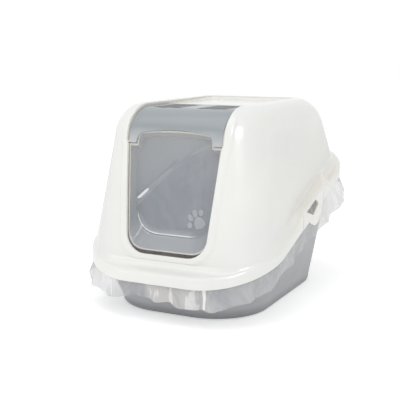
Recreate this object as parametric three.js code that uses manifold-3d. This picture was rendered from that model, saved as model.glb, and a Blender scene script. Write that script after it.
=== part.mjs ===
// Hooded cat litter box: a high-backed tray with a sloping rim, a film bag folded over that rim,
// a lift-off hood with a swinging door, a roof cover over a carbon filter, and two side latches.
// Millimetres, +Z up. The doorway faces -Y. The origin is on the floor under the middle of the box.

import * as THREE from 'three';
import { mergeVertices } from 'three/addons/utils/BufferGeometryUtils.js';
import Module from 'manifold-3d';

const wasm = await Module();
wasm.setup();

// ---------------------------------------------------------------- driving dimensions
const CORNER_STEPS = 9;          // facets round each corner of an outline
const HINGE_FACETS = 16;         // facets round a pin or a bore
const CLEARANCE = 0.4;           // between pieces that fit together
const OUTSIDE = 400;             // further than any face of the box, for cutting blocks

const HALF_LENGTH = 280;         // brim, front to middle
const HALF_WIDTH = 195;          // brim, side to middle
const BRIM_RADIUS = 134;         // brim corners seen from above
const INCLINE = 0.329;           // rise of the rim for each millimetre towards the back
const BRIM_LOW = 71;             // lower edge of the brim at the front, above the floor
const BAND_TOP = 88;             // top of the brim's upright band at the front
const WALL_FOOT = 106;           // where the ledge above the band meets the hood wall, at the front

const HOOD_HEIGHT = 384;
const HOOD_WALL = 3;
const WALL_RADIUS = 78;          // hood corners seen from above
const REFERENCE_LEVEL = 100;     // height at which the next three sizes hold
const WALL_HALF_WIDTH = 186.2;
const WALL_FRONT = -248.4;
const WALL_BACK = 342.1;
const SIDE_LEAN = 0.1226;        // inward lean of each wall per millimetre of height
const FRONT_LEAN = 0.1836;
const BACK_LEAN = 0.5314;
const ROOF_ROUND = { height: 48, side: 38, front: 58 };   // rounding from wall to roof

const PANEL = { halfWidth: 99, back: 150, low: 315.3, drop: 6, setback: 0.5 };  // sunk roof middle
const COVER = { halfWidth: 95.5, back: -45, low: 315.5, thickness: 2.5 };
const VENT = { inner: 16, outer: 78, front: -147, pitch: 9, width: 4, rows: 10 };
const WELL = { halfWidth: 74, front: -152, back: -54, floor: 355, wall: 2 };    // holds the filter pad
const PAD = { margin: 1.5, thickness: 9 };
const WELL_SLOT = { length: 56, width: 7, pitch: 15, rows: 5 };

const AXIS = { y: -203, z: 311.5 };                        // the door's hinge line
const DOOR_TILT = THREE.MathUtils.degToRad(10);            // the closed door leans like the wall
const DOOR_THICKNESS = 2.5;
const DOOR_FACE = 2.3;                                     // outer face, ahead of the hinge line
const DOORWAY = { bottom: 117.5 - AXIS.z, halfBottom: 82.8, halfShoulder: 96.2, corner: 38, back: -186 };
const DOOR_GAP = 1.7;
const TONGUE = { half: 77.5, side: 22.5, crown: 28, corner: 19 };    // the door above its hinge line
const BARREL_RADIUS = 3.2;
const PIN = { radius: 2.4, end: 101.5, bore: 3 };
const BOSS = { inner: 96.6, outer: 107, front: 3.5, back: 6.5, height: 14 };
const DISH = { depth: 14, lean: 0.06 };                    // at the hinge line, and deeper below it
const DISH_LOWER = {
  mouth: { halfTop: 90.9, halfBottom: 78.3, top: -4, bottom: -189.5, upperCorner: 4, lowerCorner: 36 },
  floor: { halfTop: 85, halfBottom: 80, top: -9, bottom: -160.5, upperCorner: 4, lowerCorner: 55 },
};
const DISH_TONGUE = {
  mouth: { halfTop: 74, halfBottom: 74, top: 20, bottom: -30, upperCorner: 14, lowerCorner: 4 },
  floor: { halfTop: 70, halfBottom: 70, top: 14, bottom: -30, upperCorner: 10, lowerCorner: 4 },
};
const DISH_STEPS = 6;                                      // facets round each corner of the dish

const TRAY_WALL = 3;
const TRAY_BASE = { halfWidth: 149, front: -224, back: 201, radius: 108, level: 10 };
const TRAY_SOLE = [[9, 0], [3.5, 1.5], [0.8, 5]];          // inset and height of its rounded sole
const RIM = { top: BAND_TOP, inset: 11, lip: 3, lipHeight: 20, wallInset: 19 };

const FILM = { thickness: 0.8, gap: 0.5, tuck: 5.5, tuckLow: 44, hem: 23, flare: 10 };

const LATCH = { front: -52, back: 62, top: 102, thickness: 3, housing: 160, runout: 6 };
const LATCH_WINDOW = [[-36, 178.5], [8, 193], [18, 195], [25, 190], [33, 183.5], [6, 165.5]];
const LATCH_TAB = [[-16, 156], [-8, 150], [14, 143], [32, 145.5], [47, 153], [55, 170], [62, 182]];

// ---------------------------------------------------------------- outlines and solids
const level = (z) => () => z;
const inclined = (frontHeight) => (y) => frontHeight + INCLINE * (y + HALF_LENGTH);
const mix = (a, b, t) => a + (b - a) * t;

/** A closed outline, counter-clockwise from above: a rounded rectangle that may change with height. */
function ring(shapeAt, heightAt) {
  const corners = [[1, 1], [-1, 1], [-1, -1], [1, -1]];
  return corners.flatMap(([sideX, sideY], corner) =>
    Array.from({ length: CORNER_STEPS + 1 }, (_, step) => {
      const angle = (corner + step / CORNER_STEPS) * Math.PI / 2;
      const point = new THREE.Vector3(0, 0, heightAt(0));
      for (let pass = 0; pass < 10; pass++) {
        const shape = shapeAt(point.z);
        const middle = sideY > 0 ? shape.back - shape.radius : shape.front + shape.radius;
        point.x = sideX * (shape.halfWidth - shape.radius) + shape.radius * Math.cos(angle);
        point.y = middle + shape.radius * Math.sin(angle);
        point.z = heightAt(point.y);
      }
      return point;
    }));
}

const between = (ringA, ringB, across, up) => ringA.map((a, i) => new THREE.Vector3(
  mix(a.x, ringB[i].x, across), mix(a.y, ringB[i].y, across), mix(a.z, ringB[i].z, up)));

/** The closed solid whose skin runs through a list of outlines, with a cap on the first and the last.
    Each facet is split along its shorter diagonal, so that parallel skins are split alike. */
function loft(rings) {
  const count = rings[0].length;
  const points = rings.flat();
  const triangles = [];
  rings.slice(1).forEach((_, row) => {
    for (let i = 0; i < count; i++) {
      const [a, b] = [row * count + i, row * count + (i + 1) % count];
      const [d, c] = [a + count, b + count];
      const rising = points[a].distanceTo(points[c]) < points[b].distanceTo(points[d]);
      triangles.push(...(rising ? [a, b, c, a, c, d] : [a, b, d, b, c, d]));
    }
  });
  const last = (rings.length - 1) * count;
  for (let i = 1; i < count - 1; i++) {
    triangles.push(0, i + 1, i, last, last + i, last + i + 1);
  }
  const geometry = new THREE.BufferGeometry().setFromPoints(points);
  geometry.setIndex(triangles);
  return solid(geometry);
}

function solid(geometry) {
  geometry.deleteAttribute('normal');
  geometry.deleteAttribute('uv');
  const merged = mergeVertices(geometry, 1e-4);
  return new wasm.Manifold(new wasm.Mesh({
    numProp: 3,
    vertProperties: new Float32Array(merged.attributes.position.array),
    triVerts: new Uint32Array(merged.index.array),
  }));
}

function geometryOf(manifold) {
  const mesh = manifold.getMesh();
  const geometry = new THREE.BufferGeometry();
  geometry.setAttribute('position', new THREE.BufferAttribute(mesh.vertProperties, 3));
  geometry.setIndex(new THREE.BufferAttribute(mesh.triVerts, 1));
  geometry.computeVertexNormals();
  return geometry;
}

function box(x, y, z) {
  const geometry = new THREE.BoxGeometry(x[1] - x[0], y[1] - y[0], z[1] - z[0]);
  geometry.translate((x[0] + x[1]) / 2, (y[0] + y[1]) / 2, (z[0] + z[1]) / 2);
  return solid(geometry);
}

const reach = (half) => [-half, half];

function rod(radius, x, y, z) {
  const geometry = new THREE.CylinderGeometry(radius, radius, x[1] - x[0], HINGE_FACETS);
  geometry.rotateZ(Math.PI / 2);
  geometry.translate((x[0] + x[1]) / 2, y, z);
  return solid(geometry);
}

/** An upright plate: a shape drawn in X and Z, from depth y[0] to y[1]. */
function plate(shape, y) {
  const depth = y[1] - y[0];
  const geometry = new THREE.ExtrudeGeometry(shape, { depth, bevelEnabled: false, curveSegments: 6 });
  geometry.rotateX(Math.PI / 2);
  geometry.translate(0, y[1], 0);
  return solid(geometry);
}

/** A side plate: a shape drawn in Y and Z, from x[0] to x[1]. */
function sidePlate(shape, x) {
  const geometry = new THREE.ExtrudeGeometry(shape, { depth: x[1] - x[0], bevelEnabled: false });
  geometry.applyMatrix4(new THREE.Matrix4().set(0, 0, 1, x[0], 1, 0, 0, 0, 0, 1, 0, 0, 0, 0, 0, 1));
  return solid(geometry);
}

const joined = (solids) => solids.reduce((whole, piece) => whole.add(piece));

// ---------------------------------------------------------------- shapes shared by several pieces
const brim = (inset) => () => ({
  halfWidth: HALF_WIDTH - inset, front: inset - HALF_LENGTH,
  back: HALF_LENGTH - inset, radius: BRIM_RADIUS - inset,
});

const base = (inset) => () => ({
  halfWidth: TRAY_BASE.halfWidth - inset, front: TRAY_BASE.front + inset,
  back: TRAY_BASE.back - inset, radius: TRAY_BASE.radius - inset,
});

const wall = (inset, rounding = 0) => (z) => ({
  halfWidth: WALL_HALF_WIDTH - SIDE_LEAN * (z - REFERENCE_LEVEL) - inset - rounding * ROOF_ROUND.side,
  front: WALL_FRONT + FRONT_LEAN * (z - REFERENCE_LEVEL) + inset + rounding * ROOF_ROUND.front,
  back: WALL_BACK - BACK_LEAN * (z - REFERENCE_LEVEL) - inset - rounding * ROOF_ROUND.side,
  radius: WALL_RADIUS - inset - rounding * ROOF_ROUND.side,
});

/** The hood as a full block, `inset` inside its outer skin, with its roof `drop` lower. */
function hoodBlock(inset, drop = 0) {
  const skirt = inset > 0 ? 10 : 0;
  const edge = ring(brim(inset), inclined(BAND_TOP - inset / 2));
  const foot = ring(wall(inset), inclined(WALL_FOOT - inset));
  const ledge = [[0.1, 0.18], [0.3, 0.32], [0.62, 0.42], [0.86, 0.66]];
  const top = HOOD_HEIGHT - drop - inset;
  const roof = [0, 20, 40, 55, 70, 90].map((degrees) => {
    const angle = THREE.MathUtils.degToRad(degrees);
    const z = top - ROOF_ROUND.height * (1 - Math.sin(angle));
    return ring(wall(inset, 1 - Math.cos(angle)), level(z));
  });
  return loft([
    ring(brim(inset), inclined(BRIM_LOW - skirt)),
    edge,
    ...ledge.map(([across, up]) => between(edge, foot, across, up)),
    foot,
    ...roof,
  ]);
}

const panelBlock = (depth) => hoodBlock(PANEL.setback + depth, PANEL.drop);

/** The doorway's outline about the hinge line: wide below it, narrower for the tongue above it. */
function doorOutline(gap, shoulder) {
  const half = DOORWAY.halfBottom - gap;
  const bottom = DOORWAY.bottom + gap;
  const { corner } = DOORWAY;
  const tongue = TONGUE.half + DOOR_GAP - gap;
  const side = TONGUE.side + DOOR_GAP - gap;
  const crown = TONGUE.crown + DOOR_GAP - gap;
  const shape = new THREE.Shape();
  shape.moveTo(corner - half, bottom);
  shape.lineTo(half - corner, bottom);
  shape.absarc(half - corner, bottom + corner, corner, -Math.PI / 2, 0);
  shape.lineTo(DOORWAY.halfShoulder - gap, shoulder);
  shape.lineTo(tongue, shoulder);
  shape.lineTo(tongue, side - TONGUE.corner);
  shape.absarc(tongue - TONGUE.corner, side - TONGUE.corner, TONGUE.corner, 0, 0.4 * Math.PI);
  shape.quadraticCurveTo(0, 2 * crown - side,
    TONGUE.corner * 0.7 - tongue, side - 0.05 * TONGUE.corner);
  shape.absarc(TONGUE.corner - tongue, side - TONGUE.corner, TONGUE.corner, 0.6 * Math.PI, Math.PI);
  shape.lineTo(-tongue, shoulder);
  shape.lineTo(gap - DOORWAY.halfShoulder, shoulder);
  shape.absarc(corner - half, bottom + corner, corner, Math.PI, 1.5 * Math.PI);
  return shape;
}

const doorway = (gap) => plate(doorOutline(gap, COVER.low - AXIS.z - 0.1), [-OUTSIDE, DOORWAY.back])
  .translate([0, 0, AXIS.z]);

/** A block over the middle of the roof and down its front edge, as wide and long as the piece it cuts. */
const middleBlock = ({ halfWidth, back, low }, grow = 0) =>
  box(reach(halfWidth + grow), [-OUTSIDE, back + grow], [low, OUTSIDE]);

// ---------------------------------------------------------------- the pieces
function makeTray() {
  const soleOf = (depth) => TRAY_SOLE.map(([step, z]) => ring(base(step + depth), level(z + depth)));
  const rimAt = (inset, height) => ring(brim(inset), inclined(height));
  const { top, inset, lip, lipHeight, wallInset } = RIM;
  return loft([
    ...soleOf(0),
    ring(base(0), level(TRAY_BASE.level)),
    rimAt(wallInset, top - TRAY_WALL),
    rimAt(inset + lip, top - TRAY_WALL),
    rimAt(inset + lip, top - lipHeight),
    rimAt(inset, top - lipHeight),
    rimAt(inset, top),
    rimAt(wallInset + TRAY_WALL, top),
    ring(base(TRAY_WALL), level(TRAY_BASE.level + TRAY_WALL)),
    ...soleOf(TRAY_WALL).reverse(),
  ]);
}

/** The bag as one skin: up the inside of the tray, over its rim, and down to a loose hem outside. */
function makeLiner() {
  const { thickness, gap, tuck, tuckLow, hem, flare } = FILM;
  const soleInset = TRAY_WALL + gap;
  const inside = (step, z, depth) => ring(base(step + depth), level(z + depth));
  const skin = (offset) => [
    ...TRAY_SOLE.map(([step, z]) => inside(step, z, soleInset + offset)),
    inside(0, TRAY_BASE.level, soleInset + offset),
    ring(brim(RIM.wallInset + soleInset + offset), inclined(RIM.top + gap + offset)),
    ring(brim(RIM.inset - gap - offset), inclined(RIM.top + gap + offset)),
    ring(brim(tuck - offset), inclined(BRIM_LOW)),
    ring(brim(tuck - offset), inclined(tuckLow)),
    ring(brim(-flare - offset), inclined(hem)),
  ];
  return loft([...skin(0), ...skin(thickness).reverse()]);
}

function makeHood() {
  const panelBox = (grow) => middleBlock(PANEL, grow);
  const coverBox = (grow) => middleBlock({ ...COVER, low: PANEL.low }, grow);
  const outer = hoodBlock(0);
  const seat = COVER.thickness + CLEARANCE;
  const panelWalls = outer.subtract(panelBlock(HOOD_WALL))
    .intersect(panelBox(HOOD_WALL).subtract(panelBox(0)));
  const panelFloor = panelBlock(0).subtract(panelBlock(HOOD_WALL)).intersect(panelBox(1));
  const coverSeat = panelBlock(0).subtract(panelBlock(seat + HOOD_WALL)).intersect(coverBox(HOOD_WALL));
  const bosses = [-1, 1].map((side) => {
    const span = [side * BOSS.inner, side * BOSS.outer].sort((a, b) => a - b);
    return box(span, [AXIS.y - BOSS.front, AXIS.y + BOSS.back],
      [AXIS.z - BOSS.height / 2, AXIS.z + BOSS.height / 2]);
  });
  const hollows = joined([-1, 1].map((side) => latchBlock(side, HOOD_WALL, BRIM_LOW - 12)));
  const housings = joined([-1, 1].map((side) => latchBlock(side, 0, BRIM_LOW)))
    .subtract(hollows).subtract(hoodBlock(HOOD_WALL));
  const shell = outer.subtract(hoodBlock(HOOD_WALL)).subtract(panelBox(0)).subtract(hollows);
  return joined([shell, panelWalls, panelFloor, coverSeat, ...bosses, housings, filterWell()])
    .subtract(coverBox(CLEARANCE).subtract(panelBlock(seat)))
    .subtract(box(reach(WELL.halfWidth - WELL.wall), [WELL.front + WELL.wall, WELL.back - WELL.wall],
      [WELL.floor + WELL.wall, OUTSIDE]))
    .subtract(doorway(0))
    .subtract(rod(PIN.bore, reach(BOSS.outer + 1), AXIS.y, AXIS.z))
    .subtract(joined([-1, 1].map((side) => latchPlate(side, CLEARANCE, 8))));
}

/** A shallow box under the roof cover, open above and slotted below, which the filter pad lies in. */
function filterWell() {
  const { halfWidth, front, back, floor, wall: thickness } = WELL;
  const slots = [-1, 1].flatMap((side) => Array.from({ length: WELL_SLOT.rows }, (_, row) => {
    const middle = side * halfWidth / 2;
    const y = (front + back) / 2 + (row - (WELL_SLOT.rows - 1) / 2) * WELL_SLOT.pitch;
    return box([middle - WELL_SLOT.length / 2, middle + WELL_SLOT.length / 2],
      [y - WELL_SLOT.width / 2, y + WELL_SLOT.width / 2], [floor - 1, floor + thickness + 1]);
  }));
  return box(reach(halfWidth), [front, back], [floor, 371]).subtract(joined(slots))
    .intersect(panelBlock(COVER.thickness + CLEARANCE));
}

function makeFilterPad() {
  const inset = WELL.wall + PAD.margin;
  const low = WELL.floor + WELL.wall + CLEARANCE;
  return box(reach(WELL.halfWidth - inset), [WELL.front + inset, WELL.back - inset],
    [low, low + PAD.thickness]);
}

function makeCover() {
  const slots = [-1, 1].flatMap((side) => Array.from({ length: VENT.rows }, (_, row) => {
    const x = [side * VENT.inner, side * VENT.outer].sort((a, b) => a - b);
    const y = VENT.front + row * VENT.pitch;
    return box(x, [y, y + VENT.width], [WELL.floor, OUTSIDE]);
  }));
  return panelBlock(0).subtract(panelBlock(COVER.thickness)).intersect(middleBlock(COVER))
    .subtract(joined(slots)).subtract(doorway(0.2));
}

/** An outline of the dish about the hinge line, `grow` larger all round, at a depth for each height. */
function dishRing({ halfTop, halfBottom, top, bottom, upperCorner, lowerCorner }, grow, depthAt) {
  return [[1, 1], [-1, 1], [-1, -1], [1, -1]].flatMap(([sideX, sideZ], index) =>
    Array.from({ length: DISH_STEPS + 1 }, (_, step) => {
      const angle = (index + step / DISH_STEPS) * Math.PI / 2;
      const corner = sideZ > 0 ? upperCorner : lowerCorner;
      const half = sideZ > 0 ? halfTop : halfBottom;
      const z = (sideZ > 0 ? top - corner : bottom + corner) + (corner + grow) * Math.sin(angle);
      return new THREE.Vector3(sideX * (half - corner) + (corner + grow) * Math.cos(angle), depthAt(z), z);
    }));
}

/** The clear door about its hinge line: a thin frame round a deep dish, with barrels and end pins. */
function makeDoor() {
  const face = -DOOR_FACE;
  const back = face + DOOR_THICKNESS;
  const block = (grow, start, deeper) => joined([DISH_LOWER, DISH_TONGUE].map(({ mouth, floor }) => loft([
    dishRing(floor, grow, (z) => face + DISH.depth - DISH.lean * z + deeper),
    dishRing(mouth, grow, () => start),
  ])));
  const dish = block(DOOR_THICKNESS, face + 0.2, DOOR_THICKNESS);
  const hollow = block(0, face - 1, 0);
  const shoulder = DOORWAY.halfShoulder - DOOR_GAP;
  const barrels = rod(BARREL_RADIUS, reach(shoulder), 0, 0).subtract(
    box(reach(TONGUE.half - 0.5), [-9, 9], [-9, 9]));
  const pins = rod(PIN.radius, reach(PIN.end), 0, 0).subtract(
    box(reach(shoulder - 4), [-9, 9], [-9, 9]));
  const frame = plate(doorOutline(DOOR_GAP, 0.8), [face, back]);
  return joined([joined([frame, dish]).subtract(hollow), barrels, pins]);
}

/** A side latch: an upright plate in the brim's band, with a window and a pull tab. */
function latchPlate(side, grow, depth) {
  const low = inclined(BRIM_LOW);
  const high = inclined(LATCH.top + grow);
  const [front, back] = [LATCH.front - grow, LATCH.back + grow];
  const shape = new THREE.Shape();
  shape.moveTo(front, low(front) - (grow > 0 ? LATCH.runout : 0));
  LATCH_TAB.forEach(([y, z]) => shape.lineTo(y, z - grow));
  shape.lineTo(back, high(back));
  shape.lineTo(front, high(front));
  if (grow === 0) {
    shape.holes.push(new THREE.Path(LATCH_WINDOW.map(([y, z]) => new THREE.Vector2(y, z))));
  }
  const inner = HALF_WIDTH - LATCH.thickness - grow;
  const x = [side * inner, side * (inner + depth)].sort((a, b) => a - b);
  return sidePlate(shape, x);
}

/** A block on the ledge behind a side latch, `inset` inside the housing's outer faces. */
function latchBlock(side, inset, foot) {
  const front = LATCH.front - HOOD_WALL + inset;
  const back = LATCH.back + HOOD_WALL - inset;
  const top = inclined(LATCH.top + HOOD_WALL - inset);
  const shape = new THREE.Shape();
  shape.moveTo(front, inclined(foot)(front));
  shape.lineTo(back, inclined(foot)(back));
  shape.lineTo(back, top(back));
  shape.lineTo(front, top(front));
  return sidePlate(shape, [side * LATCH.housing, side * (HALF_WIDTH - inset)].sort((a, b) => a - b));
}

// ---------------------------------------------------------------- the assembly
function material(color, roughness, metalness = 0, opacity = 1) {
  const transparent = opacity < 1;
  return new THREE.MeshStandardMaterial({ color, roughness, metalness, opacity, transparent });
}

const finish = {
  tray: material(0xa6a8ab, 0.5),
  film: material(0xd8dadc, 0.35, 0, 0.55),
  hood: material(0xf0f0ec, 0.22),
  cover: material(0xa5abae, 0.4),
  door: material(0x9aa2a9, 0.12, 0, 0.5),
  filter: material(0x2c2c2c, 0.95),
};

const box3d = new THREE.Group();

function place(name, manifold, surface, parent = box3d) {
  const mesh = new THREE.Mesh(geometryOf(manifold), surface);
  mesh.name = name;
  parent.add(mesh);
}

place('tray', makeTray(), finish.tray);
place('bag_liner', makeLiner(), finish.film);
place('hood', makeHood(), finish.hood);
place('roof_cover', makeCover(), finish.cover);
place('filter_pad', makeFilterPad(), finish.filter);
place('side_latch_left', latchPlate(-1, 0, LATCH.thickness), finish.hood);
place('side_latch_right', latchPlate(1, 0, LATCH.thickness), finish.hood);

const doorHanger = new THREE.Group();
doorHanger.position.set(0, AXIS.y, AXIS.z);
doorHanger.rotation.x = -DOOR_TILT;
box3d.add(doorHanger);
place('door', makeDoor(), finish.door, doorHanger);

export default box3d;
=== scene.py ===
"""Looks for the hooded cat litter box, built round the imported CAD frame.

Lengths in the building code are millimetres in the row frame and become metres in make_object().
"""

import math

import bmesh
import bpy
import numpy as np
from mathutils import Matrix, Vector


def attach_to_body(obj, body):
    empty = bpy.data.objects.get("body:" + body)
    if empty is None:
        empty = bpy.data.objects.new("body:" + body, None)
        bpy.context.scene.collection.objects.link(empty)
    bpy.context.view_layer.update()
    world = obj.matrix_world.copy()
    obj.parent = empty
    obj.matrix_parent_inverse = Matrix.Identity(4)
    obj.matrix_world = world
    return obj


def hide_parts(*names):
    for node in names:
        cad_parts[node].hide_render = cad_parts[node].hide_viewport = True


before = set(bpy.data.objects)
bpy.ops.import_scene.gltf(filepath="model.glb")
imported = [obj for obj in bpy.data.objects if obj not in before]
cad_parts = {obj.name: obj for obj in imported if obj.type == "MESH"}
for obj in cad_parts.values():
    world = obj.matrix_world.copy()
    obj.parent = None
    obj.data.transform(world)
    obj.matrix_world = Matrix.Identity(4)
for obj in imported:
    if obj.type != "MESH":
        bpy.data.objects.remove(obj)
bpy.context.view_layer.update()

# ---------------------------------------------------------------- sizes shared with the CAD source
HALF_LENGTH, HALF_WIDTH, BRIM_RADIUS, INCLINE = 280, 195, 134, 0.329
BRIM_LOW, BAND_TOP, WALL_FOOT = 71, 88, 106
HOOD_HEIGHT, HOOD_WALL = 384, 3
# the hood's skin at one level, how far it leans in for each millimetre up, and the shoulder under its roof
WALL = {"level": 100, "half": 186.2, "front": -248.4, "back": 342.1, "radius": 78}
WALL_LEAN = {"half": 0.1226, "front": 0.1836, "back": 0.5314}
SHOULDER = {"rise": 48, "side": 38, "front": 58}
PANEL = {"half": 99, "back": 150, "drop": 6, "setback": 0.5}
COVER = {"half": 95.5, "back": -45, "low": 315.5, "thickness": 2.5}
WELL = {"half": 74, "front": -152, "back": -54, "floor": 355, "wall": 2}
AXIS = Vector((0, -203, 311.5))
DOOR_TILT = math.radians(10)
DOOR_THICKNESS, DOOR_FACE, DOOR_GAP = 2.5, 2.3, 1.7
DOORWAY = {"bottom": 117.5, "half_bottom": 82.8, "half_shoulder": 96.2, "corner": 38}
TONGUE = {"half": 77.5, "side": 22.5, "crown": 28, "corner": 19}
DISH = {"depth": 14, "lean": 0.06}
TRAY_BASE = {"half": 149, "front": -224, "back": 201, "radius": 108, "level": 10}
TRAY_SOLE = [(9, 0), (3.5, 1.5), (0.8, 5)]
RIM = {"top": 88, "inset": 11, "lip": 3, "wall_inset": 19}
TRAY_WALL = 3
FILM = {"gap": 0.5, "tuck": 5.5}
LATCH = {"front": -52, "back": 62, "top": 102, "thickness": 3, "gap": 0.4}
LATCH_WINDOW = [(-36, 178.5), (8, 193), (18, 195), (25, 190), (33, 183.5), (6, 165.5)]
LATCH_TAB = [(-16, 156), (-8, 150), (14, 143), (32, 145.5), (47, 153), (55, 170), (62, 182)]

# ---------------------------------------------------------------- sizes of the looks alone
BORDER = {"height": 2.2, "flat": 11.5, "end": 17.5}
FLANGE = {"depth": 3.6, "foot": 4.2, "roof": 7.5, "root": 4.5, "thickness": 2.2}
SILL_DROP = 9
# the hood's skin is laid out as seen from here, with its first rows this far from the opening's edge
HOOD_CENTRE = np.array([0.0, -20.0, 240.0])
CLOSE_ROWS = [0, 0.35, 1.1, 2.5, 5, 8, 10.4, 11.6, 12.8, 14, 15.2, 16.4, 17.8, 20, 23]
VENT = {"inner": 16, "outer": 78, "first": -64, "pitch": 9, "rows": 10, "half": 2.4, "wave": 1.5}

MM = 0.001
SIDES = ((-1, "left"), (1, "right"))


# ---------------------------------------------------------------- small maths
def smooth(low, high, x):
    t = np.clip((np.asarray(x, float) - low) / (high - low), 0, 1)
    return t * t * (3 - 2 * t)


def inclined(front_height, y):
    """Height at y of a level that rises towards the back like the brim."""
    return front_height + INCLINE * (np.asarray(y, float) + HALF_LENGTH)


def lengths(points):
    """Distance along a line of points, from its first point."""
    steps = np.linalg.norm(np.diff(points, axis=0), axis=1)
    return np.concatenate([[0], np.cumsum(steps)])


def resampled(points, at):
    """The points of a line at the given distances along it."""
    along = lengths(points)
    return np.stack([np.interp(at, along, points[:, k]) for k in range(points.shape[1])], axis=1)


def curve_through(points, count):
    """A smooth line through a few points, by Catmull-Rom, with `count` points in all."""
    p = np.asarray(points, float)
    ends = np.vstack([2 * p[0] - p[1], p, 2 * p[-1] - p[-2]])
    out = []
    for q in np.linspace(0, len(p) - 1, count):
        i = min(int(q), len(p) - 2)
        t = q - i
        a, b, c, d = ends[i : i + 4]
        square, cube = 2 * a - 5 * b + 4 * c - d, 3 * b - a - 3 * c + d
        out.append(0.5 * (2 * b + (c - a) * t + square * t**2 + cube * t**3))
    return np.array(out)


def rounded(corners, radius, steps=6):
    """A closed flat outline with its corners rounded. radius is one number, or one for each corner."""
    pts = [np.array(c, float) for c in corners]
    n = len(pts)
    radii = [radius] * n if np.isscalar(radius) else radius
    out = []
    for i, p in enumerate(pts):
        a, b = pts[i - 1] - p, pts[(i + 1) % n] - p
        la, lb = np.linalg.norm(a), np.linalg.norm(b)
        a, b = a / la, b / lb
        angle = math.acos(max(-1, min(1, float(a @ b))))
        if radii[i] <= 0 or angle > 3.1:
            out.append(p)
            continue
        cut = min(radii[i] / math.tan(angle / 2), 0.45 * la, 0.45 * lb)
        start, end = p + a * cut, p + b * cut
        for t in np.linspace(0, 1, steps + 1):
            out.append((1 - t) ** 2 * start + 2 * t * (1 - t) * p + t**2 * end)
    return np.array(out)


# ---------------------------------------------------------------- outlines of the box
def rectangle(s, half, front, back, radius):
    """Points on the right half of a rounded rectangle. s runs 0 to 5: front, corner, side, corner, back."""
    s = np.asarray(s, float)
    k = np.clip(s.astype(int), 0, 4)
    t = s - k
    turn = np.where(k == 1, t * np.pi / 2 - np.pi / 2, np.where(k == 3, t * np.pi / 2, 0))
    x0, y0, y1 = half - radius, front + radius, back - radius
    turned_x = x0 + radius * np.cos(turn)
    x = np.select([k == 0, k == 2, k == 4], [t * x0, half + 0 * t, (1 - t) * x0], turned_x)
    turned_y = np.where(k == 1, y0, y1) + radius * np.sin(turn)
    y = np.select([k == 0, k == 2, k == 4], [front + 0 * t, y0 + t * (y1 - y0), back + 0 * t], turned_y)
    return x, y


def brim_at(s, inset, front_height):
    """The right half of the sloping brim's outline, drawn in by an inset."""
    x, y = rectangle(s, HALF_WIDTH - inset, inset - HALF_LENGTH, HALF_LENGTH - inset, BRIM_RADIUS - inset)
    return np.stack([x, y, inclined(front_height, y)], axis=1)


def base_at(s, inset, z):
    """The right half of the tray's level base, drawn in by an inset."""
    b = TRAY_BASE
    x, y = rectangle(s, b["half"] - inset, b["front"] + inset, b["back"] - inset, b["radius"] - inset)
    return np.stack([x, y, np.full_like(x, z)], axis=1)


def wall_shape(z, inset=0.0, drop=0.0):
    """Half width, front, back and corner radius of the hood's skin at heights z."""
    tall = SHOULDER["rise"]
    rise = np.clip((z - (HOOD_HEIGHT - drop - inset - tall)) / tall, 0, 1)
    turn = 1 - np.sqrt(1 - rise**2)
    up, side = z - WALL["level"], SHOULDER["side"] * turn
    half = WALL["half"] - WALL_LEAN["half"] * up - inset - side
    front = WALL["front"] + WALL_LEAN["front"] * up + inset + SHOULDER["front"] * turn
    back = WALL["back"] - WALL_LEAN["back"] * up - inset - side
    return half, front, back, WALL["radius"] - inset - side


def outside(p, inset, drop):
    """How far points are outside the hood's skin. Negative is inside."""
    z = p[..., 2]
    half, front, back, radius = wall_shape(z, inset, drop)
    qx = np.abs(p[..., 0]) - (half - radius)
    qy = np.abs(p[..., 1] - (front + back) / 2) - ((back - front) / 2 - radius)
    corner = np.hypot(np.maximum(qx, 0), np.maximum(qy, 0)) + np.minimum(np.maximum(qx, qy), 0) - radius
    return np.maximum(corner, z - (HOOD_HEIGHT - drop - inset))


def cast(origin, direction, inset=0.0, drop=0.0):
    """Where rays from inside the hood meet its skin."""
    direction = direction / np.linalg.norm(direction, axis=-1, keepdims=True)
    low = np.zeros(direction.shape[:-1])
    high = np.full(direction.shape[:-1], 700.0)
    for _ in range(44):
        middle = (low + high) / 2
        is_out = outside(origin + direction * middle[..., None], inset, drop) > 0
        high = np.where(is_out, middle, high)
        low = np.where(is_out, low, middle)
    return origin + direction * low[..., None]


def front_foot(y):
    """The foot of the hood's wall, a little lower under the doorway."""
    return WALL_FOOT - SILL_DROP * smooth(-196, -240, y)


def foot_ring(s):
    """The right half of the line where the hood's wall meets its ledge, found step by step."""
    y = np.zeros_like(s)
    for _ in range(14):
        z = front_foot(y) + INCLINE * (y + HALF_LENGTH)
        x, y = rectangle(s, *wall_shape(z))
    return np.stack([x, y, z], axis=1)


def whole(right):
    """A closed ring from its right half: its points, then their mirror images on the way back."""
    left = right[-2:0:-1] * np.array([-1, 1, 1])
    return np.concatenate([right, left])


# ---------------------------------------------------------------- mesh making
def grid_faces(rows, columns, wrap_rows=False, wrap_columns=False, keep=None):
    """Quads over a grid of points. `keep` says which of them to make."""
    r = np.arange(rows if wrap_rows else rows - 1)
    c = np.arange(columns if wrap_columns else columns - 1)
    rr, cc = np.meshgrid(r, c, indexing="ij")
    if keep is not None:
        chosen = keep[: len(r), : len(c)]
        rr, cc = rr[chosen], cc[chosen]
    rr, cc = rr.ravel(), cc.ravel()
    c2 = (cc + 1) % columns
    here, above = rr * columns, (rr + 1) % rows * columns
    return np.stack([here + cc, here + c2, above + c2, above + cc], axis=1).tolist()


def placed(mesh, material):
    """A smooth object of one material in the scene, named after its mesh."""
    obj = bpy.data.objects.new(mesh.name, mesh)
    bpy.context.scene.collection.objects.link(obj)
    mesh.materials.clear()
    mesh.materials.append(material)
    for polygon in mesh.polygons:
        polygon.use_smooth = True
    return obj


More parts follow.
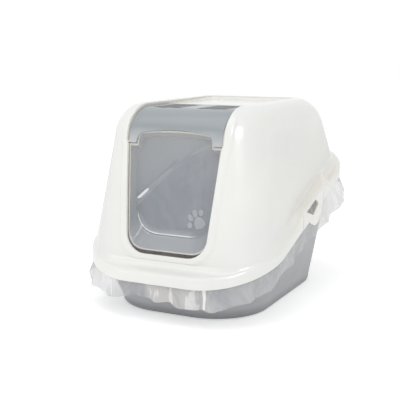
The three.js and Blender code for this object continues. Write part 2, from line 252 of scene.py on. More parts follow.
def make_object(name, points, faces, material, tidy=True):
    """An object from points in millimetres. `tidy` merges points that lie together."""
    mesh = bpy.data.meshes.new(name)
    mesh.from_pydata((np.asarray(points, float) * MM).tolist(), [], faces)
    bm = bmesh.new()
    bm.from_mesh(mesh)
    if tidy:
        bmesh.ops.remove_doubles(bm, verts=bm.verts, dist=0.00002)
        bmesh.ops.dissolve_degenerate(bm, edges=bm.edges, dist=0.00001)
        loose = [v for v in bm.verts if not v.link_faces]
        bmesh.ops.delete(bm, geom=loose, context="VERTS")
    bmesh.ops.recalc_face_normals(bm, faces=bm.faces)
    bm.to_mesh(mesh)
    bm.free()
    return placed(mesh, material)


def modifier(obj, kind, **settings):
    m = obj.modifiers.new(kind.title(), kind)
    for key, value in settings.items():
        setattr(m, key, value)


def thickened(obj, thickness, bevel, **settings):
    """Gives a sheet a thickness behind its face, and softens its edges."""
    modifier(obj, "SOLIDIFY", thickness=thickness * MM, offset=-1, **settings)
    modifier(obj, "BEVEL", width=bevel * MM, segments=2, limit_method="ANGLE", angle_limit=math.radians(50))


def attach(obj, body, replaced=()):
    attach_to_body(obj, body)
    if replaced:
        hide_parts(*replaced)


def loft(rings, first=False, last=False):
    """Points and quads through closed rings of equal counts, with a face over the first or last ring."""
    grid = np.stack(rings)
    count, n = grid.shape[:2]
    faces = grid_faces(count, n, wrap_columns=True)
    if first:
        faces.append(list(range(n))[::-1])
    if last:
        faces.append(list(range((count - 1) * n, count * n)))
    return grid.reshape(-1, 3), faces


def grid_normals(grid):
    """Unit normals of a grid of points [row, column] that closes on itself, by its neighbours."""
    along = np.gradient(grid, axis=0)
    across = (np.roll(grid, -1, axis=1) - np.roll(grid, 1, axis=1)) / 2
    n = np.cross(across, along)
    return n / np.maximum(np.linalg.norm(n, axis=2, keepdims=True), 1e-9)


# ---------------------------------------------------------------- materials
class Nodes:
    """A short way to write a procedural material."""

    def __init__(self, name):
        self.material = bpy.data.materials.new(name)
        self.material.use_nodes = True
        self.tree = self.material.node_tree
        self.shader = self.tree.nodes["Principled BSDF"]
        self.place = self.add("ShaderNodeTexCoord").outputs["Object"]

    def add(self, kind, **settings):
        node = self.tree.nodes.new(kind)
        for key, value in settings.items():
            setattr(node, key, value)
        return node

    def put(self, value, socket):
        if isinstance(value, bpy.types.NodeSocket):
            self.tree.links.new(value, socket)
        else:
            socket.default_value = value

    def stretched(self, stretch):
        if not stretch:
            return self.place
        mapping = self.add("ShaderNodeMapping")
        mapping.inputs["Scale"].default_value = stretch
        self.put(self.place, mapping.inputs["Vector"])
        return mapping.outputs["Vector"]

    def noise(self, scale, detail=3.0, roughness=0.55, distortion=0.0, stretch=None):
        node = self.add("ShaderNodeTexNoise")
        self.put(self.stretched(stretch), node.inputs["Vector"])
        settings = {"Scale": scale, "Detail": detail, "Roughness": roughness, "Distortion": distortion}
        for key, value in settings.items():
            node.inputs[key].default_value = value
        return node.outputs["Fac"]

    def cells(self, scale, stretch=None):
        node = self.add("ShaderNodeTexVoronoi")
        self.put(self.stretched(stretch), node.inputs["Vector"])
        node.inputs["Scale"].default_value = scale
        return node.outputs["Distance"]

    def along(self, direction):
        """How far along a direction a point lies."""
        node = self.add("ShaderNodeVectorMath", operation="DOT_PRODUCT")
        self.put(self.place, node.inputs[0])
        node.inputs[1].default_value = direction
        return node.outputs["Value"]

    def xyz(self):
        node = self.add("ShaderNodeSeparateXYZ")
        self.put(self.place, node.inputs[0])
        return node.outputs["X"], node.outputs["Y"], node.outputs["Z"]

    def span(self, value, low, high, to_low, to_high):
        node = self.add("ShaderNodeMapRange")
        for socket, v in zip(node.inputs, (value, low, high, to_low, to_high)):
            self.put(v, socket)
        return node.outputs["Result"]

    def maths(self, operation, a, b):
        node = self.add("ShaderNodeMath", operation=operation)
        self.put(a, node.inputs[0])
        self.put(b, node.inputs[1])
        return node.outputs[0]

    def times(self, value, *factors):
        for factor in factors:
            value = self.maths("MULTIPLY", value, factor)
        return value

    def plus(self, value, part, share):
        """A value and a share of a part."""
        return self.maths("ADD", value, self.times(part, share))

    def mix(self, amount, a, b):
        node = self.add("ShaderNodeMix", data_type="RGBA")
        self.put(amount, node.inputs[0])
        self.put(a, node.inputs[6])
        self.put(b, node.inputs[7])
        return node.outputs[2]

    def bump(self, height, strength, distance, under=None):
        node = self.add("ShaderNodeBump")
        node.inputs["Strength"].default_value = strength
        node.inputs["Distance"].default_value = distance
        self.put(height, node.inputs["Height"])
        if under:
            self.put(under, node.inputs["Normal"])
        return node.outputs["Normal"]

    def finish(self, **sockets):
        for key, value in sockets.items():
            self.put(value, self.shader.inputs[key.replace("_", " ")])
        return self.material


def linear(r, g, b):
    """A colour as seen, 0 to 255, as the shader wants it."""
    def one(v):
        v /= 255
        return v / 12.92 if v <= 0.04045 else ((v + 0.055) / 1.055) ** 2.4
    return (one(r), one(g), one(b), 1)


def moulded(name, colour, shade, roughness, grain=0.12, coat=0.0, passes=None, foot=None):
    """Moulded polypropylene: slow colour drift, fine dust, faint scuffs and a slightly uneven skin.
    `passes` is the share of the light that a thin shell lets through, slightly warmer, above its thicker
    foot. `foot` is painted shading on a part's lower edge: another tone, with the heights in metres that it
    fades between."""
    n = Nodes(name)
    drift = n.noise(7, 2)
    dust = n.noise(420, 2, 0.6)
    scuff = n.noise(60, 4, 0.7, 1.5, stretch=(1, 1, 5))
    scuffed = n.span(scuff, 0.62, 0.72, 0, 1)
    tone = n.mix(n.span(drift, 0.35, 0.65, 0, 1), linear(*colour), linear(*shade))
    dusty = n.times(n.span(dust, 0.66, 0.8, 0, 1), 0.12)
    tone = n.mix(dusty, tone, linear(*[c * 0.86 for c in shade]))
    height = n.xyz()[2]
    # painted shading: the lower edge fades to the foot tone
    if foot:
        tone = n.mix(n.span(height, foot[1], foot[2], 1, 0), tone, linear(*foot[0]))
    rough = n.plus(n.span(drift, 0.3, 0.7, roughness - 0.025, roughness + 0.035), scuffed, 0.07)
    rough = n.maths("ADD", rough, n.span(dust, 0.55, 0.8, 0, 0.05))
    skin = n.bump(n.noise(38, 2, 0.5), 0.08, 0.0012)
    skin = n.bump(n.noise(900, 2, 0.6), grain, 0.00012, skin)
    material = n.finish(Base_Color=tone, Roughness=rough, Normal=skin, IOR=1.49, Coat_Weight=coat,
                        Coat_Roughness=0.08)
    if passes:
        open_air = n.add("ShaderNodeBsdfTransparent")
        open_air.inputs["Color"].default_value = (1.0, 0.95, 0.89, 1)
        mix = n.add("ShaderNodeMixShader")
        ray = n.add("ShaderNodeLightPath")
        lit = n.maths("MAXIMUM", ray.outputs["Is Shadow Ray"], ray.outputs["Is Diffuse Ray"])
        n.put(n.times(lit, n.span(height, 0.14, 0.19, 0.1, passes)), mix.inputs[0])
        n.put(n.shader.outputs[0], mix.inputs[1])
        n.put(open_air.outputs[0], mix.inputs[2])
        n.put(mix.outputs[0], n.tree.nodes["Material Output"].inputs["Surface"])
    return material


def clear_door():
    """Smoke-tinted clear plastic: part of the light passes, the rest shows as a soft grey veil, which is
    denser and painted lighter in the sloping sides of the dish: painted light for what these slopes catch
    where the eye looks along the skin."""
    n = Nodes("clear_door")
    haze = n.noise(9, 3, 0.5)
    wear = n.noise(55, 5, 0.7, 2.0, stretch=(1, 1, 4))
    wiped = n.span(wear, 0.6, 0.75, 0, 1)
    turn = Matrix.Rotation(-DOOR_TILT, 3, "X")
    dish, flat = turn @ Vector((0, 1, DISH["lean"])), turn @ Vector((0, 1, 0))
    floor = (dish.dot(AXIS) + DISH["depth"] - DOOR_FACE) * MM
    face = (flat.dot(AXIS) - DOOR_FACE) * MM
    deep = n.along(dish)
    # painted light: the dish's sloping sides are lighter and denser
    side = n.span(deep, floor - 0.0035, floor - 0.001, 1, 0)
    # painted highlight: the door's edge is a light cream line, and denser
    rim = n.span(n.along(flat), face + 0.0004, face + 0.0011, 1, 0)
    # a painted highlight: a thin white line along the tightest fold, at the foot of the dish
    x, _, height = n.xyz()
    fold_highlight = n.times(n.span(deep, floor - 0.0011, floor - 0.0006, 0, 1),
                   n.span(deep, floor - 0.0002, floor + 0.0001, 1, 0),
                   n.span(height, 0.178, 0.19, 1, 0), n.span(x, 0.03, 0.05, 1, 0))
    tone = n.mix(n.span(haze, 0.3, 0.7, 0, 1), linear(181, 191, 203), linear(187, 195, 205))
    tone = n.mix(side, tone, linear(194, 200, 206))
    tone = n.mix(rim, tone, linear(232, 229, 222))
    tone = n.mix(fold_highlight, tone, linear(255, 255, 255))
    alpha = n.span(haze, 0.3, 0.7, 0.32, 0.36)
    for part, share in ((wiped, 0.03), (side, 0.14), (rim, 0.22), (fold_highlight, 0.55)):
        alpha = n.plus(alpha, part, share)
    rough = n.plus(n.span(haze, 0.3, 0.7, 0.07, 0.12), wiped, 0.1)
    skin = n.bump(n.noise(30, 2, 0.5), 0.05, 0.001)
    return n.finish(Base_Color=tone, Roughness=rough, Alpha=alpha, Normal=skin, IOR=1.5)


def frosted():
    n = Nodes("frosted_paw")
    grain = n.noise(1500, 2, 0.6)
    alpha = n.span(grain, 0.3, 0.7, 0.44, 0.58)
    skin = n.bump(grain, 0.3, 0.0002)
    return n.finish(Base_Color=linear(205, 210, 216), Roughness=0.62, Alpha=alpha, Normal=skin)


def film():
    """Thin polythene film: milky in slow patches, crinkled, with painted white highlights along its crinkles
    and one white weld seam down its front.
    """
    n = Nodes("bag_film")
    cloud = n.noise(13, 3, 0.55, 0.8)
    patch = n.span(cloud, 0.36, 0.64, 0, 1)
    crumple = n.cells(40, stretch=(1, 1, 0.4))
    fine = n.noise(46, 2, 0.5, 1.6, stretch=(1, 1, 0.3))
    # painted highlights: thin white streaks along the crinkles, mostly on the hanging skirt
    crinkle_highlight = n.span(fine, 0.6, 0.63, 0, 1)
    x, y, height = n.xyz()
    side, end = HALF_WIDTH * MM, HALF_LENGTH * MM
    beside = n.span(n.maths("ABSOLUTE", x, 0.0), side - 0.007, side + 0.001, 0, 1)
    ahead = n.span(n.maths("ABSOLUTE", y, 0.0), end - 0.014, end - 0.006, 0, 1)
    level = n.maths("SUBTRACT", height, n.times(y, INCLINE))
    below = inclined(BRIM_LOW, 0) * MM
    skirt = n.times(n.maths("MAXIMUM", beside, ahead), n.span(level, below, below + 0.004, 1, 0))
    crinkle_highlight = n.times(crinkle_highlight, n.span(skirt, 0, 1, 0.15, 1))
    across = n.maths("ADD", x, n.span(n.noise(22, 1), 0.3, 0.7, -0.0025, 0.0025))
    weld = 0.092
    seam = n.span(n.maths("ABSOLUTE", n.maths("SUBTRACT", across, weld), 0.0), 0.0022, 0.0028, 1, 0)
    seam = n.times(seam, n.span(y, -0.2, -0.21, 0, 1))
    tone = n.mix(patch, linear(176, 175, 181), linear(216, 214, 212))
    tone = n.mix(n.span(skirt, 0, 1, 0.75, 0), tone, linear(202, 203, 206))
    tone = n.mix(n.times(beside, 0.55), tone, linear(216, 215, 212))
    tone = n.mix(n.times(crinkle_highlight, 0.6), tone, linear(250, 250, 249))
    tone = n.mix(seam, tone, linear(250, 250, 250))
    alpha = n.span(cloud, 0.36, 0.64, 0.44, 0.7)
    for part, share in ((crinkle_highlight, 0.1), (seam, 0.25), (beside, 0.14)):
        alpha = n.plus(alpha, part, share)
    skin = n.bump(n.noise(24, 2, 0.5, 1.5), 0.5, 0.004)
    skin = n.bump(crumple, 0.55, 0.006, skin)
    skin = n.bump(fine, 0.3, 0.0012, skin)
    rough = n.span(skirt, 0, 1, 0.6, 0.34)
    return n.finish(Base_Color=tone, Roughness=rough, Alpha=alpha, Normal=skin, IOR=1.5)


def foam():
    n = Nodes("carbon_foam")
    pores = n.cells(420)
    tone = n.mix(n.span(pores, 0.1, 0.5, 0, 1), linear(18, 18, 19), linear(58, 58, 60))
    return n.finish(Base_Color=tone, Roughness=0.95, Normal=n.bump(pores, 0.8, 0.0012))


WHITE = moulded("hood_white", (241, 241, 237), (237, 238, 235), 0.16, 0.06, 0.25, 0.8)
# painted light: the cover is lighter towards its lower ears, for the bright floor and hood that they reflect
GREY = moulded("cover_grey", (151, 158, 162), (146, 153, 157), 0.4, 0.1, 0.35,
               foot=((186, 191, 194), 0.318, 0.344))
# painted shade: a dark material for the vent slots' walls, for the depth of the slots
SLOT_SHADE = moulded("slot_painted_shade", (58, 61, 64), (52, 55, 58), 0.5, 0.1)
# painted shade: the tray is darker towards its base, where little light comes up from the floor
TRAY_GREY = moulded("tray_grey", (176, 178, 181), (170, 172, 175), 0.36, 0.15,
                    foot=((126, 128, 131), -0.004, 0.022))
CLEAR = clear_door()
FROST = frosted()
BAG_FILM = film()
FOAM = foam()


# ---------------------------------------------------------------- hood
def half_columns():
    """Places round the right half of the box, with some exactly on the edges of the latch and its housing."""
    side = np.linspace(2, 3, 66, endpoint=False)
    straight = 2 * (HALF_LENGTH - BRIM_RADIUS)
    gap = LATCH["gap"]
    for y in (LATCH["front"] - gap - 3, LATCH["front"] - gap, LATCH["back"] + gap, LATCH["back"] + gap + 3):
        exact = 2 + (y + straight / 2) / straight
        side[np.argmin(np.abs(side - exact))] = exact
    return np.concatenate([
        np.linspace(0, 1, 20, endpoint=False), np.linspace(1, 2, 56, endpoint=False), side,
        np.linspace(3, 4, 40, endpoint=False), np.linspace(4, 5, 16),
    ])


def opening_line():
    """The right half of the edge round the doorway and the sunk roof panel, from the sill to the back,
    with the distances along it of its corners."""
    low, shoulder, r = DOORWAY["half_bottom"], DOORWAY["half_shoulder"], DOORWAY["corner"]
    bottom, shoulder_height = DOORWAY["bottom"], 313
    half, back, corner_radius = PANEL["half"], PANEL["back"], 10
    turn = np.linspace(-np.pi / 2, 0, 20)[1:]
    front = [(x, bottom) for x in np.linspace(0, low - r, 30)]
    sill_end = len(front) - 1
    front += [(low - r + r * math.cos(a), bottom + r * (1 + math.sin(a))) for a in turn]
    arc_end = len(front) - 1
    foot, rise = bottom + r, np.linspace(0, 1, 60)[1:]
    front += [(low + t * (shoulder - low), foot + t * (shoulder_height - foot)) for t in rise]
    shoulder_end = len(front) - 1
    front += [(shoulder + (half - shoulder) * float(smooth(0, 1, t)), shoulder_height + 6 * t)
              for t in np.linspace(0, 1, 8)[1:]]
    front = np.array(front)
    middle = HOOD_CENTRE[1]
    origin = np.stack([front[:, 0], np.full(len(front), middle), front[:, 1]], axis=1)
    points = cast(origin, np.tile([0.0, -1.0, 0.0], (len(front), 1)))
    above, behind = HOOD_HEIGHT - HOOD_CENTRE[2], back - corner_radius
    start = math.atan2(points[-1, 2] - HOOD_CENTRE[2], middle - points[-1, 1])
    angle = np.linspace(start, math.pi - math.atan2(above, behind - middle), 160)[1:]
    over = cast(HOOD_CENTRE + [half, 0, 0], np.stack([0 * angle, -np.cos(angle), np.sin(angle)], axis=1))
    turn = np.linspace(0, np.pi / 2, 10)[1:]
    corner = np.stack([half + corner_radius * (np.cos(turn) - 1), behind + corner_radius * np.sin(turn),
                       0 * turn + HOOD_HEIGHT], axis=1)
    x = np.linspace(half - corner_radius, 0, 40)[1:]
    across = np.stack([x, 0 * x + back, 0 * x + HOOD_HEIGHT], axis=1)
    line = np.concatenate([points, over, corner, across])
    along = lengths(line)
    edge = len(points) + int(np.argmax(over[:, 1] > -140))
    side_end = len(points) + len(over) - 1
    corners = [sill_end, arc_end, shoulder_end, edge, side_end, side_end + len(corner), -1]
    return line, [0, *along[corners]]


def hood_wall(s, line, marks, foot):
    """Rows of the right half of the wall, from the edge of the opening out to the wall's foot."""
    inner = resampled(line, np.interp(s, [0, 0.8, 1.12, 1.55, 2.15, 3.0, 3.55, 5], marks))
    a, b = inner - HOOD_CENTRE, foot - HOOD_CENTRE
    a /= np.linalg.norm(a, axis=1, keepdims=True)
    b /= np.linalg.norm(b, axis=1, keepdims=True)
    angle = np.arccos(np.clip((a * b).sum(1), -1, 1))[:, None]

    def on_wall(t):
        """Points on the skin, a share t of the turn from the opening's edge to the wall's foot."""
        w = np.sin((1 - t) * angle)[..., None] * a[:, None] + np.sin(t * angle)[..., None] * b[:, None]
        return cast(HOOD_CENTRE, w)

    even = np.tile(np.linspace(0, 1, 48), (len(s), 1))
    trial = on_wall(even)
    spread = 30
    share = np.zeros((len(s), len(CLOSE_ROWS) + spread))
    for i in range(len(s)):
        along = lengths(trial[i])
        total = along[-1]
        first = np.array(CLOSE_ROWS) * min(1, 0.72 * total / CLOSE_ROWS[-1])
        rest = np.linspace(first[-1], total, spread + 1)[1:]
        share[i] = np.interp(np.concatenate([first, rest]), along, even[i])
    wall = on_wall(share)
    wall[:, 0], wall[:, -1] = inner, foot
    return wall.transpose(1, 0, 2)


def hood_ledge(s, foot, edge):
    """Rows from the foot of the wall out to the brim's band, or over the latch's housing."""
    plain = [(1, 1), (0.86, 0.66), (0.62, 0.42), (0.3, 0.32), (0.1, 0.18), (0, 0)]
    tight = [(1, 1), (0.93, 0.8), (0.78, 0.5), (0.55, 0.29), (0.3, 0.21), (0.1, 0.14), (0, 0)]
    plain, tight = curve_through(plain, 21)[1:], curve_through(tight, 21)[1:]
    sideways = smooth(1.5, 2.0, s)[:, None]
    top = LATCH["top"] + LATCH["gap"]
    housed = [(0.97, 0.98), (0.92, 0.95), (0.85, 0.92), (0.76, 0.87), (0.66, 0.82), (0.55, 0.76), (0.44, 0.7),
              (0.33, 0.62), (0.24, 0.55), (0.17, 0.48), (0.11, 0.4), (0.07, 0.32), (0.04, 0.24),
              (0.018, 0.15), (0.004, 0.07)]
    housed = [(share, top + (WALL_FOOT - top) * rise) for share, rise in housed]
    housed += [(0, top), (0, top - 4), (0, top - 8), (0, top - 12), (0, BAND_TOP)]
    y = edge[:, 1]
    front, back, run = LATCH["front"] - 3.4, LATCH["back"] + 3.4, 40
    at_side = (s >= 2) & (s <= 3)
    w = (smooth(front - run, front, y) * (1 - smooth(back, back + run, y)) * at_side)[:, None]
    level = (foot - edge) * [1, 1, 0]
    ledge = []
    for front_share, side_share, (across, height) in zip(plain, tight, housed):
        share = front_share + (side_share - front_share) * sideways
        p = edge + level * share[:, :1]
        p[:, 2] = edge[:, 2] + (foot[:, 2] - edge[:, 2]) * share[:, 1]
        q = edge + level * across
        q[:, 2] = inclined(height, q[:, 1])
        ledge.append(p * (1 - w) + q * w)
    return ledge


def proud(outer, line):
    """How far the skin stands proud: the border round the opening, and the roof's front by a small step."""
    near = slice(0, len(CLOSE_ROWS) + 22)
    full_line = np.concatenate([line, line * [-1, 1, 1]])
    band_points = outer[near].reshape(-1, 3)
    distance = np.min(np.linalg.norm(band_points[:, None, :] - full_line[None, ::3, :], axis=2), axis=1)
    height = np.zeros(outer.shape[:2])
    fade = 1 - smooth(BORDER["flat"], BORDER["end"], distance)
    height[near] = BORDER["height"] * fade.reshape(-1, outer.shape[1])
    y, z = outer[..., 1], outer[..., 2]
    height *= 1 - smooth(352, 372, z)
    return height + 0.45 * smooth(300, 340, z) * (1 - smooth(-63, -58.5, y)) * (1 - smooth(376, 384, z))


def make_hood():
    s = half_columns()
    line, marks = opening_line()
    foot, edge = foot_ring(s), brim_at(s, 0, BAND_TOP)
    wall = hood_wall(s, line, marks, foot)
    ledge = hood_ledge(s, foot, edge)
    # the first row of the ledge that lies at the top of the latch's place
    hole_row = len(wall) + 15
    band = [brim_at(s, 0, z) for z in (86, 83, 79, 75, 72.6)]
    band += [brim_at(s, 0.25, 71.5), brim_at(s, 0.9, 71.05)]
    right = np.concatenate([wall, np.stack(ledge + band)])
    outer = np.stack([whole(row) for row in right])
    rows, columns = outer.shape[:2]

    normal = grid_normals(outer)
    if (normal[len(CLOSE_ROWS)] * (outer[len(CLOSE_ROWS)] - HOOD_CENTRE)).sum() < 0:
        normal = -normal
    raised = outer + normal * proud(outer, line)[..., None]
    lip = raised.copy()
    for row, sink in ((0, 1.2), (1, 0.45), (2, 0.08)):
        lip[row] = raised[row] - normal[row] * sink

    # the flange turned in round the opening is deepest under the roof
    depth = FLANGE["depth"] + (FLANGE["foot"] - FLANGE["depth"]) * smooth(190, 130, outer[0, :, 2])
    roofed = smooth(330, 370, outer[0, :, 2])
    depth = (depth * (1 - roofed) + FLANGE["roof"] * roofed)[:, None]
    inward = -normal[0]
    outwards = outer[5] - outer[0]
    outwards /= np.linalg.norm(outwards, axis=1, keepdims=True)
    thick = FLANGE["thickness"]
    flange = [outer[0] + inward * deep + outwards * wide for deep, wide in (
        (2, 0), (depth - 0.6, 0), (depth, 0.6), (depth, thick - 0.6), (depth - 0.6, thick),
        (FLANGE["root"], thick))]
    under = outer - normal * HOOD_WALL
    # the inner skin follows fewer of the rows
    inner_rows = [5, 8, 12, *range(len(CLOSE_ROWS), len(wall), 3), *range(len(wall), rows)]
    profile = flange[::-1] + list(lip) + [None] + [under[r] for r in reversed(inner_rows)]
    bottom = (lip[-1] + under[-1]) / 2
    bottom[:, 2] -= 0.35
    profile[len(flange) + rows] = bottom
    grid = np.stack(profile)

    # the latch's place in the band stays open
    x, y, _ = whole(edge).T
    front, back = LATCH["front"] - LATCH["gap"], LATCH["back"] + LATCH["gap"]
    start = (y > front - 0.01) & (y < back + 0.01) & (np.abs(x) > HALF_WIDTH - 1)
    cut_column = start & np.roll(start, -1)
    keep = np.ones((len(profile), columns), bool)
    offset = len(flange)
    first_cut = offset + hole_row
    back_of = {r: len(profile) - 1 - i for i, r in enumerate(inner_rows)}
    keep[first_cut : back_of[hole_row], cut_column] = False
    faces = grid_faces(len(profile), columns, wrap_rows=True, wrap_columns=True, keep=keep)
    # close the edges of that opening between the outer and the inner skin
    top_out, top_in = first_cut * columns, back_of[hole_row] * columns
    for c in np.nonzero(cut_column)[0]:
        c2 = (c + 1) % columns
        faces.append((top_out + c, top_out + c2, top_in + c2, top_in + c))
    for c in np.nonzero(start & (cut_column != np.roll(cut_column, 1)))[0]:
        for r in range(hole_row, rows - 1):
            corners = offset + r, offset + r + 1, back_of[r + 1], back_of[r]
            faces.append([row * columns + c for row in corners])
    hood = make_object("hood_shell", grid.reshape(-1, 3), faces, WHITE)
    attach(hood, "hood", ["hood"])


def cast_profile(x, depth, count=260):
    """Down the front of the sunk panel at one x, from the roof cover's rear edge: points and lengths."""
    angle = np.linspace(0, math.radians(72), count)
    rays = np.stack([0 * angle, -np.sin(angle), np.cos(angle)], axis=1)
    points = cast(np.array([x, COVER["back"], 250.0]), rays, PANEL["setback"] + depth, PANEL["drop"])
    return points, lengths(points)


def tongue_top(x, gap):
    """Lowest height of the roof cover at each x: its notch over the door's tongue, and its two ears."""
    half, side = TONGUE["half"] + gap, AXIS.z + TONGUE["side"] + gap
    crown, r = AXIS.z + TONGUE["crown"] + gap, TONGUE["corner"]
    x = np.abs(x)
    arch = crown - (crown - side) * (x / (half - r)) ** 2
    turn = side - r + np.sqrt(np.maximum(r * r - np.clip(x - (half - r), 0, r) ** 2, 0))
    return np.where(x > half, COVER["low"], np.where(x > half - r, turn, arch))


def merged(*parts, gap=0.02):
    """Sorted numbers, without those nearer than gap to the one before."""
    values = np.sort(np.concatenate([np.atleast_1d(p) for p in parts]))
    return values[np.concatenate([[True], np.diff(values) > gap])]


def make_cover():
    notch = TONGUE["half"] + DOOR_GAP
    v = VENT
    both = np.array([v["inner"], v["outer"], notch, notch + 0.06, COVER["half"] - 0.6, COVER["half"]])
    xs = merged(np.linspace(-94, 94, 95), both, -both, gap=0.03)
    nearest = np.abs(np.abs(xs)[:, None] - both).min(axis=1)
    xs = xs[(nearest < 1e-6) | (nearest > 0.5)]
    slots = [COVER["back"] - (v["first"] - k * v["pitch"]) for k in range(v["rows"])]
    edge = [0, 0.6, 1.4, 2.6, 4.5]
    front_rows = 34
    columns, kept = [], []
    for x in xs:
        points, along = cast_profile(x, 0)
        end = np.interp(-tongue_top(x, DOOR_GAP), -points[:, 2], along)
        t = (abs(x) - v["inner"]) / (v["outer"] - v["inner"])
        inside = 0 <= t <= 1
        half = v["half"] * math.sqrt(max(0.0, 1 - (2 * t - 1) ** 8)) if inside else 0
        wave = v["wave"] * math.sin(4 * math.pi * t) * math.sin(math.pi * t) ** 0.3 if inside else 0
        at = [0, 4, 9]
        for k in slots:
            at += [k + wave - max(half, 0.25), k + wave + max(half, 0.25), k + v["pitch"] / 2]
        last = at[-1]
        at += list(np.linspace(last, end - edge[-1], front_rows + 1)[1:])
        at += [end - e for e in reversed(edge[:-1])]
        columns.append(resampled(points, np.array(at)))
        kept.append(inside)
    grid = np.stack(columns, axis=1)
    keep = np.ones(grid.shape[:2], bool)
    kept = np.array(kept)
    open_column = np.append(kept[:-1] & kept[1:] & (np.abs(xs[:-1] + xs[1:]) > 1), False)
    for k in range(v["rows"]):
        keep[3 + 3 * k, open_column] = False
    cover = make_object("vent_cover", grid.reshape(-1, 3), grid_faces(*grid.shape[:2], keep=keep), GREY)
    face_towards(cover, (0, -0.3, 1))
    thickened(cover, COVER["thickness"], 0.45, use_even_offset=True)
    paint_slot_shade(cover)
    attach(cover, "roof_cover", ["roof_cover"])


def paint_slot_shade(cover):
    """Gives the walls of the vent slots a darker material of their own: painted shade for the depth of the
    slots.
    """
    rear = VENT["first"] + 6
    front = VENT["first"] - (VENT["rows"] - 1) * VENT["pitch"] - 7
    roof, steep = 340, 0.55
    solid = bpy.data.meshes.new_from_object(cover.evaluated_get(bpy.context.evaluated_depsgraph_get()))
    cover.modifiers.clear()
    cover.data = solid
    solid.materials.append(SLOT_SHADE)
    for face in solid.polygons:
        x, y, z = np.array(face.center) / MM
        among = VENT["inner"] - 1 < abs(x) < VENT["outer"] + 1 and front < y < rear and z > roof
        if among and abs(face.normal.z) < steep:
            face.material_index = 1


def face_towards(obj, direction):
    """Turns a sheet's faces over if most of them look away from the direction."""
    d = Vector(direction)
    if sum(p.normal.dot(d) * p.area for p in obj.data.polygons) < 0:
        obj.data.flip_normals()


def make_roof_panel():
    """The sunk middle of the roof behind the cover, as part of the hood."""
    half, back = PANEL["half"] + 1.2, PANEL["back"] + 1.2
    front = COVER["back"] + 0.4
    top = HOOD_HEIGHT - PANEL["drop"] - PANEL["setback"]
    outline = rounded([(-half, front), (half, front), (half, back), (-half, back)], [0, 0, 10, 10], 8)
    rings = []
    soft = [(0, -HOOD_WALL), (0, 4.2), (0.5, 4.4), (3, 3.6), (7, 1.9), (12, 0.7), (18, 0.1), (30, 0), (60, 0),
            (98, 0)]
    deep, middle = back - front, (front + back) / 2
    for inset, rise in soft:
        x = outline[:, 0] * (half - inset) / half
        y = (outline[:, 1] - middle) * (deep - 2 * inset * 0.98) / deep + middle
        lift = rise * (smooth(front + 8, front + 30, y) if rise > 0 else 1)
        rings.append(np.column_stack([x, y, top + lift + 0 * y]))
    points, faces = loft(rings, first=True, last=True)
    panel = make_object("roof_panel", points, faces, WHITE)
    attach(panel, "hood")


def make_seat():
    """The ledge under the cover, with the well for the filter pad."""
    depth = COVER["thickness"] + 0.4
    w = WELL["half"] - WELL["wall"]
    xs = merged(np.linspace(-97.5, 97.5, 66), [-w, w, -79.25, -79.2, 79.2, 79.25], gap=0.03)
    s_front = COVER["back"] - (WELL["front"] + WELL["wall"])
    s_back = COVER["back"] - (WELL["back"] - WELL["wall"])
    columns = []
    for x in xs:
        points, along = cast_profile(x, depth)
        end = np.interp(-tongue_top(x, DOOR_GAP + 0.3), -points[:, 2], along)
        over_well, ahead = np.linspace(s_back, s_front, 12)[1:], np.linspace(s_front, end, 36)[1:]
        columns.append(resampled(points, np.concatenate([[0, s_back * 0.5, s_back], over_well, ahead])))
    grid = np.stack(columns, axis=1)
    keep = np.ones(grid.shape[:2], bool)
    over = np.append((xs[:-1] >= -w - 0.01) & (xs[1:] <= w + 0.01), False)
    keep[2:13, over] = False
    seat = make_object("cover_seat", grid.reshape(-1, 3), grid_faces(*grid.shape[:2], keep=keep), WHITE)
    face_towards(seat, (0, -0.3, 1))
    thickened(seat, HOOD_WALL, 0.5, use_even_offset=True)
    attach(seat, "hood")


def make_well():
    half, front, back, floor = WELL["half"], WELL["front"], WELL["back"], WELL["floor"]
    t, top = WELL["wall"], 372

    def outline(inset, radius):
        x, y0, y1 = half - inset, front + inset, back - inset
        return rounded([(-x, y0), (x, y0), (x, y1), (-x, y1)], radius, 6)

    outer, inner = outline(0, 5), outline(t, 4)
    rings = [np.column_stack([o, np.full(len(o), z)]) for o, z in
             ((inner, floor + t), (inner, top), (outer, top), (outer, floor + 0.6), (outer * 0.997, floor))]
    well = make_object("filter_well", *loft(rings), WHITE)
    attach(well, "hood")

    # the well's slotted floor
    slot, rows, pitch = {"inner": 9, "outer": 65, "half": 3.5}, 5, 15
    ends = np.array([slot["inner"], slot["outer"]])
    xs = merged(np.linspace(-half + 1, half - 1, 60), -ends, ends, gap=0.5)
    middles = (front + back) / 2 + (np.arange(rows) - (rows - 1) / 2) * pitch
    ys = np.sort(np.concatenate([[front + 1, back - 1], middles - slot["half"], middles + slot["half"]]))
    gx, gy = np.meshgrid(xs, ys)
    grid = np.stack([gx, gy, np.full_like(gx, floor + t)], axis=2)
    keep = np.ones(grid.shape[:2], bool)
    a, b = np.sort(np.abs([xs[:-1], xs[1:]]), axis=0)
    open_x = np.append((a >= slot["inner"] - 0.6) & (b <= slot["outer"] + 0.6), False)
    for k in range(rows):
        keep[1 + 2 * k, open_x] = False
    rack = make_object("filter_rack", grid.reshape(-1, 3), grid_faces(*grid.shape[:2], keep=keep), WHITE)
    face_towards(rack, (0, 0, 1))
    thickened(rack, t, 0.5)
    attach(rack, "hood")


